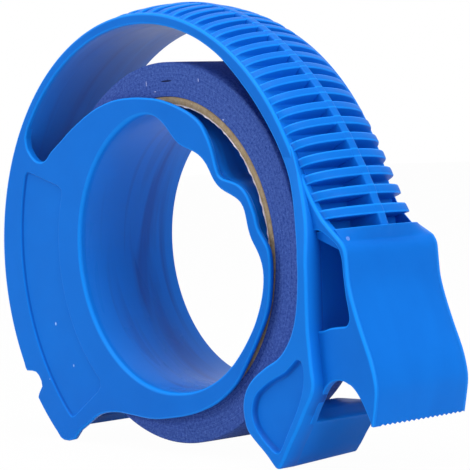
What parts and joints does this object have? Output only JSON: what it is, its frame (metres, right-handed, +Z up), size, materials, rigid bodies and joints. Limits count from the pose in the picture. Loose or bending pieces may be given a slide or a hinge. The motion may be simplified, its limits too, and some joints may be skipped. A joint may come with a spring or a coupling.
{
  "type": "masking tape applicator",
  "caption": "Hand-held masking tape applicator: ribbed grip band over a turning tape roll on a squeezable hub, with a toothed cutting head and a guide foot.",
  "frame": {"origin": "on the floor under the middle of the object's bounding box, as it stands on its foot and rear tip", "axes": "+X forward to the cutting head, +Y along the hub from the closed side to the open side where the roll slides on, +Z up"},
  "size_m": [0.1472, 0.0358, 0.1177],
  "materials": {
    "applicator_body": "satin moulded polypropylene",
    "core_liner": "matt white paper",
    "core_board": "matt brown wound board",
    "tape_winding": "matt crepe paper tape"
  },
  "bodies": {
    "applicator": {"applicator_body": "applicator_body"},
    "tape_roll": {"core_liner": "core_liner", "core_board": "core_board", "tape_winding": "tape_winding"}
  },
  "joints": [
    {"name": "roll_turn", "type": "hinge", "parent": "applicator", "child": "tape_roll", "pos_m": [-0.0017, 0.00075, 0.0515], "axis": [0, 1, 0], "continuous": true}
  ]
}
